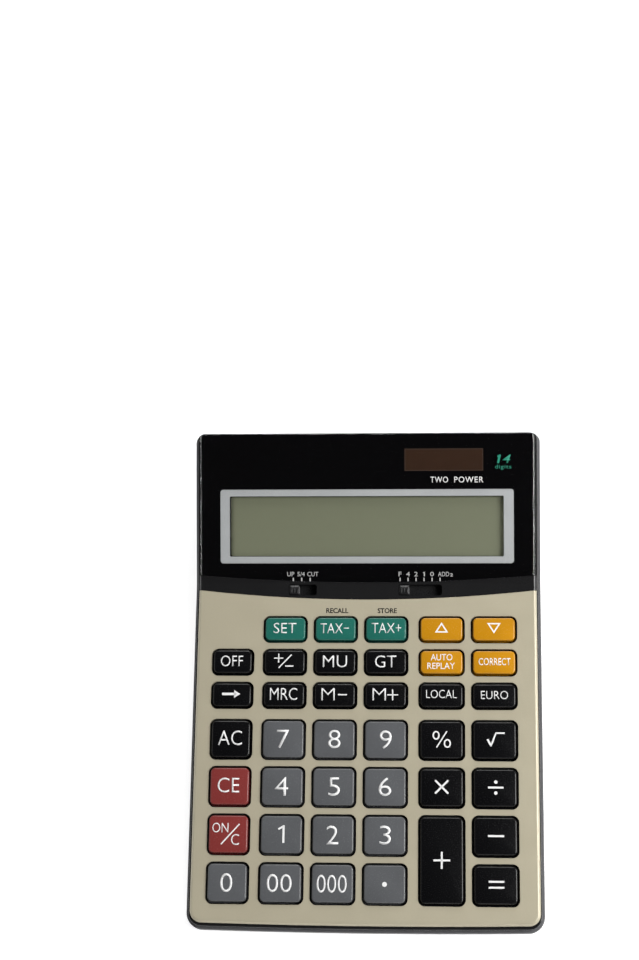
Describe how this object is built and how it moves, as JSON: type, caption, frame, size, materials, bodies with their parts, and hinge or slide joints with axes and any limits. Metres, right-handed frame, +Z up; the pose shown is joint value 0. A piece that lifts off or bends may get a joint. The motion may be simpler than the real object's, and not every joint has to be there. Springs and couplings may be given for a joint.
{
  "type": "desk calculator",
  "caption": "Desk calculator with a sloped plate of separate sprung keys, a steeper display window over a liquid crystal panel and solar cell, slide switches and a battery door.",
  "frame": {"origin": "on the table under the middle of the case", "axes": "+Z up, +X to the right of a person using it, +Y away from that person, towards the display"},
  "size_m": [0.1412, 0.1978, 0.0401],
  "materials": {
    "case_charcoal": "fine textured charcoal moulding",
    "case_black": "satin black moulding",
    "plate_champagne": "satin champagne",
    "window_clear": "polished acrylic",
    "bezel_silver": "silver grey paint",
    "lcd_glass": "green grey liquid crystal glass",
    "ribbon_film": "amber film",
    "solar_film": "dark brown solar film",
    "board_green": "solder mask",
    "mat_silicone": "silicone",
    "screw_steel": "zinc plated",
    "cell_jacket": "plain printed jacket",
    "contact_nickel": "nickel plated strip",
    "foot_rubber": "black rubber",
    "knob_black": "satin black moulding",
    "wiper_brass": "spring strip",
    "key_green": "semi gloss moulding",
    "key_amber": "semi gloss moulding",
    "key_black": "semi gloss moulding",
    "key_grey": "semi gloss moulding",
    "key_red": "semi gloss moulding"
  },
  "bodies": {
    "case": {"bottom_case": "case_charcoal", "top_case": "case_black", "key_plate": "plate_champagne", "display_window": "window_clear", "lcd_bezel": "bezel_silver", "lcd_panel": "lcd_glass", "lcd_ribbon": "ribbon_film", "solar_cell": "solar_film", "circuit_board": "board_green", "key_mat": "mat_silicone", "board_screws": "screw_steel", "case_screws": "screw_steel", "battery_cell": "cell_jacket", "battery_contacts": "contact_nickel", "rubber_feet": "foot_rubber"},
    "key_set": {"key_set": "key_green"},
    "key_tax_minus": {"key_tax_minus": "key_green"},
    "key_tax_plus": {"key_tax_plus": "key_green"},
    "key_up": {"key_up": "key_amber"},
    "key_down": {"key_down": "key_amber"},
    "key_replay": {"key_replay": "key_amber"},
    "key_correct": {"key_correct": "key_amber"},
    "key_off": {"key_off": "key_black"},
    "key_sign": {"key_sign": "key_black"},
    "key_mu": {"key_mu": "key_black"},
    "key_gt": {"key_gt": "key_black"},
    "key_backspace": {"key_backspace": "key_black"},
    "key_mrc": {"key_mrc": "key_black"},
    "key_memory_minus": {"key_memory_minus": "key_black"},
    "key_memory_plus": {"key_memory_plus": "key_black"},
    "key_local": {"key_local": "key_black"},
    "key_euro": {"key_euro": "key_black"},
    "key_all_clear": {"key_all_clear": "key_black"},
    "key_percent": {"key_percent": "key_black"},
    "key_root": {"key_root": "key_black"},
    "key_multiply": {"key_multiply": "key_black"},
    "key_divide": {"key_divide": "key_black"},
    "key_plus": {"key_plus": "key_black"},
    "key_minus": {"key_minus": "key_black"},
    "key_equals": {"key_equals": "key_black"},
    "key_7": {"key_7": "key_grey"},
    "key_8": {"key_8": "key_grey"},
    "key_9": {"key_9": "key_grey"},
    "key_4": {"key_4": "key_grey"},
    "key_5": {"key_5": "key_grey"},
    "key_6": {"key_6": "key_grey"},
    "key_1": {"key_1": "key_grey"},
    "key_2": {"key_2": "key_grey"},
    "key_3": {"key_3": "key_grey"},
    "key_0": {"key_0": "key_grey"},
    "key_00": {"key_00": "key_grey"},
    "key_000": {"key_000": "key_grey"},
    "key_point": {"key_point": "key_grey"},
    "key_clear_entry": {"key_clear_entry": "key_red"},
    "key_on_clear": {"key_on_clear": "key_red"},
    "rounding_switch": {"rounding_knob": "knob_black", "rounding_wiper": "wiper_brass"},
    "decimal_switch": {"decimal_knob": "knob_black", "decimal_wiper": "wiper_brass"},
    "battery_door": {"battery_door": "case_charcoal"}
  },
  "joints": [
    {"name": "rounding_slide", "type": "slide", "parent": "case", "child": "rounding_switch", "axis": [1, 0, 0], "range_m": [0, 0.0068]},
    {"name": "decimal_slide", "type": "slide", "parent": "case", "child": "decimal_switch", "axis": [1, 0, 0], "range_m": [0, 0.013]},
    {"name": "battery_door_slide", "type": "slide", "parent": "case", "child": "battery_door", "axis": [0, 1, 0], "range_m": [0, 0.02]},
    {"name": "key_set_press", "type": "slide", "parent": "case", "child": "key_set", "axis": [0, 0.0523, -0.9986], "range_m": [0, 0.0013], "stiffness_N_per_m": 300, "springref_m": -0.0005, "deforming": ["key_mat"]},
    {"name": "key_tax_minus_press", "type": "slide", "parent": "case", "child": "key_tax_minus", "axis": [0, 0.0523, -0.9986], "range_m": [0, 0.0013], "stiffness_N_per_m": 300, "springref_m": -0.0005, "deforming": ["key_mat"]},
    {"name": "key_tax_plus_press", "type": "slide", "parent": "case", "child": "key_tax_plus", "axis": [0, 0.0523, -0.9986], "range_m": [0, 0.0013], "stiffness_N_per_m": 300, "springref_m": -0.0005, "deforming": ["key_mat"]},
    {"name": "key_up_press", "type": "slide", "parent": "case", "child": "key_up", "axis": [0, 0.0523, -0.9986], "range_m": [0, 0.0013], "stiffness_N_per_m": 300, "springref_m": -0.0005, "deforming": ["key_mat"]},
    {"name": "key_down_press", "type": "slide", "parent": "case", "child": "key_down", "axis": [0, 0.0523, -0.9986], "range_m": [0, 0.0013], "stiffness_N_per_m": 300, "springref_m": -0.0005, "deforming": ["key_mat"]},
    {"name": "key_replay_press", "type": "slide", "parent": "case", "child": "key_replay", "axis": [0, 0.0523, -0.9986], "range_m": [0, 0.0013], "stiffness_N_per_m": 300, "springref_m": -0.0005, "deforming": ["key_mat"]},
    {"name": "key_correct_press", "type": "slide", "parent": "case", "child": "key_correct", "axis": [0, 0.0523, -0.9986], "range_m": [0, 0.0013], "stiffness_N_per_m": 300, "springref_m": -0.0005, "deforming": ["key_mat"]},
    {"name": "key_off_press", "type": "slide", "parent": "case", "child": "key_off", "axis": [0, 0.0523, -0.9986], "range_m": [0, 0.0013], "stiffness_N_per_m": 300, "springref_m": -0.0005, "deforming": ["key_mat"]},
    {"name": "key_sign_press", "type": "slide", "parent": "case", "child": "key_sign", "axis": [0, 0.0523, -0.9986], "range_m": [0, 0.0013], "stiffness_N_per_m": 300, "springref_m": -0.0005, "deforming": ["key_mat"]},
    {"name": "key_mu_press", "type": "slide", "parent": "case", "child": "key_mu", "axis": [0, 0.0523, -0.9986], "range_m": [0, 0.0013], "stiffness_N_per_m": 300, "springref_m": -0.0005, "deforming": ["key_mat"]},
    {"name": "key_gt_press", "type": "slide", "parent": "case", "child": "key_gt", "axis": [0, 0.0523, -0.9986], "range_m": [0, 0.0013], "stiffness_N_per_m": 300, "springref_m": -0.0005, "deforming": ["key_mat"]},
    {"name": "key_backspace_press", "type": "slide", "parent": "case", "child": "key_backspace", "axis": [0, 0.0523, -0.9986], "range_m": [0, 0.0013], "stiffness_N_per_m": 300, "springref_m": -0.0005, "deforming": ["key_mat"]},
    {"name": "key_mrc_press", "type": "slide", "parent": "case", "child": "key_mrc", "axis": [0, 0.0523, -0.9986], "range_m": [0, 0.0013], "stiffness_N_per_m": 300, "springref_m": -0.0005, "deforming": ["key_mat"]},
    {"name": "key_memory_minus_press", "type": "slide", "parent": "case", "child": "key_memory_minus", "axis": [0, 0.0523, -0.9986], "range_m": [0, 0.0013], "stiffness_N_per_m": 300, "springref_m": -0.0005, "deforming": ["key_mat"]},
    {"name": "key_memory_plus_press", "type": "slide", "parent": "case", "child": "key_memory_plus", "axis": [0, 0.0523, -0.9986], "range_m": [0, 0.0013], "stiffness_N_per_m": 300, "springref_m": -0.0005, "deforming": ["key_mat"]},
    {"name": "key_local_press", "type": "slide", "parent": "case", "child": "key_local", "axis": [0, 0.0523, -0.9986], "range_m": [0, 0.0013], "stiffness_N_per_m": 300, "springref_m": -0.0005, "deforming": ["key_mat"]},
    {"name": "key_euro_press", "type": "slide", "parent": "case", "child": "key_euro", "axis": [0, 0.0523, -0.9986], "range_m": [0, 0.0013], "stiffness_N_per_m": 300, "springref_m": -0.0005, "deforming": ["key_mat"]},
    {"name": "key_all_clear_press", "type": "slide", "parent": "case", "child": "key_all_clear", "axis": [0, 0.0523, -0.9986], "range_m": [0, 0.0013], "stiffness_N_per_m": 300, "springref_m": -0.0005, "deforming": ["key_mat"]},
    {"name": "key_percent_press", "type": "slide", "parent": "case", "child": "key_percent", "axis": [0, 0.0523, -0.9986], "range_m": [0, 0.0013], "stiffness_N_per_m": 300, "springref_m": -0.0005, "deforming": ["key_mat"]},
    {"name": "key_root_press", "type": "slide", "parent": "case", "child": "key_root", "axis": [0, 0.0523, -0.9986], "range_m": [0, 0.0013], "stiffness_N_per_m": 300, "springref_m": -0.0005, "deforming": ["key_mat"]},
    {"name": "key_multiply_press", "type": "slide", "parent": "case", "child": "key_multiply", "axis": [0, 0.0523, -0.9986], "range_m": [0, 0.0013], "stiffness_N_per_m": 300, "springref_m": -0.0005, "deforming": ["key_mat"]},
    {"name": "key_divide_press", "type": "slide", "parent": "case", "child": "key_divide", "axis": [0, 0.0523, -0.9986], "range_m": [0, 0.0013], "stiffness_N_per_m": 300, "springref_m": -0.0005, "deforming": ["key_mat"]},
    {"name": "key_plus_press", "type": "slide", "parent": "case", "child": "key_plus", "axis": [0, 0.0523, -0.9986], "range_m": [0, 0.0013], "stiffness_N_per_m": 300, "springref_m": -0.0005, "deforming": ["key_mat"]},
    {"name": "key_minus_press", "type": "slide", "parent": "case", "child": "key_minus", "axis": [0, 0.0523, -0.9986], "range_m": [0, 0.0013], "stiffness_N_per_m": 300, "springref_m": -0.0005, "deforming": ["key_mat"]},
    {"name": "key_equals_press", "type": "slide", "parent": "case", "child": "key_equals", "axis": [0, 0.0523, -0.9986], "range_m": [0, 0.0013], "stiffness_N_per_m": 300, "springref_m": -0.0005, "deforming": ["key_mat"]},
    {"name": "key_7_press", "type": "slide", "parent": "case", "child": "key_7", "axis": [0, 0.0523, -0.9986], "range_m": [0, 0.0013], "stiffness_N_per_m": 300, "springref_m": -0.0005, "deforming": ["key_mat"]},
    {"name": "key_8_press", "type": "slide", "parent": "case", "child": "key_8", "axis": [0, 0.0523, -0.9986], "range_m": [0, 0.0013], "stiffness_N_per_m": 300, "springref_m": -0.0005, "deforming": ["key_mat"]},
    {"name": "key_9_press", "type": "slide", "parent": "case", "child": "key_9", "axis": [0, 0.0523, -0.9986], "range_m": [0, 0.0013], "stiffness_N_per_m": 300, "springref_m": -0.0005, "deforming": ["key_mat"]},
    {"name": "key_4_press", "type": "slide", "parent": "case", "child": "key_4", "axis": [0, 0.0523, -0.9986], "range_m": [0, 0.0013], "stiffness_N_per_m": 300, "springref_m": -0.0005, "deforming": ["key_mat"]},
    {"name": "key_5_press", "type": "slide", "parent": "case", "child": "key_5", "axis": [0, 0.0523, -0.9986], "range_m": [0, 0.0013], "stiffness_N_per_m": 300, "springref_m": -0.0005, "deforming": ["key_mat"]},
    {"name": "key_6_press", "type": "slide", "parent": "case", "child": "key_6", "axis": [0, 0.0523, -0.9986], "range_m": [0, 0.0013], "stiffness_N_per_m": 300, "springref_m": -0.0005, "deforming": ["key_mat"]},
    {"name": "key_1_press", "type": "slide", "parent": "case", "child": "key_1", "axis": [0, 0.0523, -0.9986], "range_m": [0, 0.0013], "stiffness_N_per_m": 300, "springref_m": -0.0005, "deforming": ["key_mat"]},
    {"name": "key_2_press", "type": "slide", "parent": "case", "child": "key_2", "axis": [0, 0.0523, -0.9986], "range_m": [0, 0.0013], "stiffness_N_per_m": 300, "springref_m": -0.0005, "deforming": ["key_mat"]},
    {"name": "key_3_press", "type": "slide", "parent": "case", "child": "key_3", "axis": [0, 0.0523, -0.9986], "range_m": [0, 0.0013], "stiffness_N_per_m": 300, "springref_m": -0.0005, "deforming": ["key_mat"]},
    {"name": "key_0_press", "type": "slide", "parent": "case", "child": "key_0", "axis": [0, 0.0523, -0.9986], "range_m": [0, 0.0013], "stiffness_N_per_m": 300, "springref_m": -0.0005, "deforming": ["key_mat"]},
    {"name": "key_00_press", "type": "slide", "parent": "case", "child": "key_00", "axis": [0, 0.0523, -0.9986], "range_m": [0, 0.0013], "stiffness_N_per_m": 300, "springref_m": -0.0005, "deforming": ["key_mat"]},
    {"name": "key_000_press", "type": "slide", "parent": "case", "child": "key_000", "axis": [0, 0.0523, -0.9986], "range_m": [0, 0.0013], "stiffness_N_per_m": 300, "springref_m": -0.0005, "deforming": ["key_mat"]},
    {"name": "key_point_press", "type": "slide", "parent": "case", "child": "key_point", "axis": [0, 0.0523, -0.9986], "range_m": [0, 0.0013], "stiffness_N_per_m": 300, "springref_m": -0.0005, "deforming": ["key_mat"]},
    {"name": "key_clear_entry_press", "type": "slide", "parent": "case", "child": "key_clear_entry", "axis": [0, 0.0523, -0.9986], "range_m": [0, 0.0013], "stiffness_N_per_m": 300, "springref_m": -0.0005, "deforming": ["key_mat"]},
    {"name": "key_on_clear_press", "type": "slide", "parent": "case", "child": "key_on_clear", "axis": [0, 0.0523, -0.9986], "range_m": [0, 0.0013], "stiffness_N_per_m": 300, "springref_m": -0.0005, "deforming": ["key_mat"]}
  ]
}
